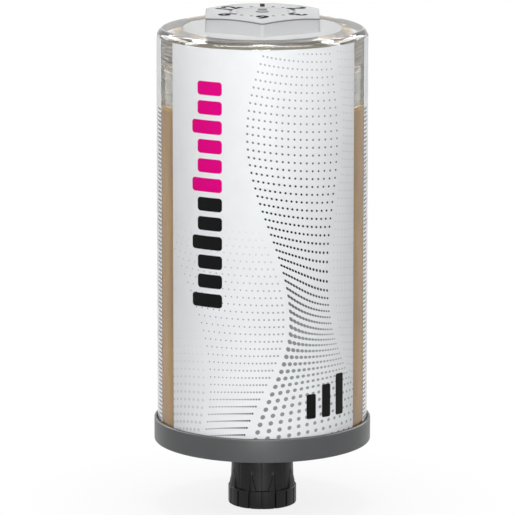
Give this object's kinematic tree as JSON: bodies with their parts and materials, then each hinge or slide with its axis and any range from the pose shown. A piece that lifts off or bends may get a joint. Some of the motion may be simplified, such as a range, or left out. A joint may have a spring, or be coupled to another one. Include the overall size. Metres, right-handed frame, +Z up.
{
  "type": "automatic lubricator",
  "caption": "Gas-driven single-point grease dispenser: clear cylindrical casing, grey base rim, ribbed black outlet cap, and a hexagon head with a setting dial.",
  "frame": {"origin": "centre of the outlet cap's standing face", "axes": "+Z up along the casing's axis towards the hexagon, -Y out of the front label's middle, +X to its right"},
  "size_m": [0.052, 0.052, 0.1198],
  "materials": {
    "clear_plastic": "gloss",
    "grey_plastic": "satin",
    "black_plastic": "satin",
    "label_film": "satin",
    "grease": "gloss",
    "frosted_plastic": "satin",
    "white_plastic": "satin",
    "seal_rubber": "matte",
    "membrane": "matte",
    "cell_steel": "satin",
    "clip_steel": "satin",
    "contact_brass": "gloss",
    "board": "satin",
    "resistor_ceramic": "matte"
  },
  "bodies": {
    "housing": {"casing": "clear_plastic", "base_plate": "grey_plastic", "front_label": "label_film", "rear_label": "label_film", "grease_fill": "grease", "outlet_grease": "grease"},
    "piston_unit": {"piston": "frosted_plastic", "piston_lower_seal": "seal_rubber", "piston_upper_seal": "seal_rubber"},
    "cap_seal": {"cap_liner": "seal_rubber"},
    "cap": {"outlet_cap": "black_plastic"},
    "head_seal": {"head_o_ring": "seal_rubber"},
    "generator": {"generator_head": "white_plastic", "generator_cover": "grey_plastic", "vent_membrane": "membrane", "cell_holder": "white_plastic", "gas_cell": "cell_steel", "negative_contact": "contact_brass", "positive_contact": "contact_brass", "circuit_board": "board", "resistors": "resistor_ceramic", "selector_o_ring": "seal_rubber"},
    "dial": {"selector_rotor": "white_plastic", "selector_clip": "clip_steel", "wiper_contact": "contact_brass"}
  },
  "joints": [
    {"name": "piston_slide", "type": "slide", "parent": "housing", "child": "piston_unit", "axis": [0, 0, -1], "range_m": [0, 0.0798], "deforming": ["grease_fill"]},
    {"name": "cap_travel", "type": "slide", "parent": "housing", "child": "cap_seal", "axis": [0, 0, -1], "range_m": [0, 0.0107]},
    {"name": "cap_turn", "type": "hinge", "parent": "cap_seal", "child": "cap", "pos_m": [0, 0, 0], "axis": [0, 0, -1], "range_deg": [0, 2881]},
    {"name": "head_travel", "type": "slide", "parent": "housing", "child": "head_seal", "axis": [0, 0, 1], "range_m": [0, 0.004]},
    {"name": "head_turn", "type": "hinge", "parent": "head_seal", "child": "generator", "pos_m": [0, 0, 0.1139], "axis": [0, 0, 1], "range_deg": [0, 1441]},
    {"name": "dial_turn", "type": "hinge", "parent": "generator", "child": "dial", "pos_m": [0, 0, 0.1197], "axis": [0, 0, -1], "range_deg": [0, 330]}
  ],
  "couplings": [
    {"joint": "cap_turn", "follows": "cap_travel", "rad_per_m": 4699.5},
    {"joint": "head_turn", "follows": "head_travel", "rad_per_m": 6283.2}
  ]
}
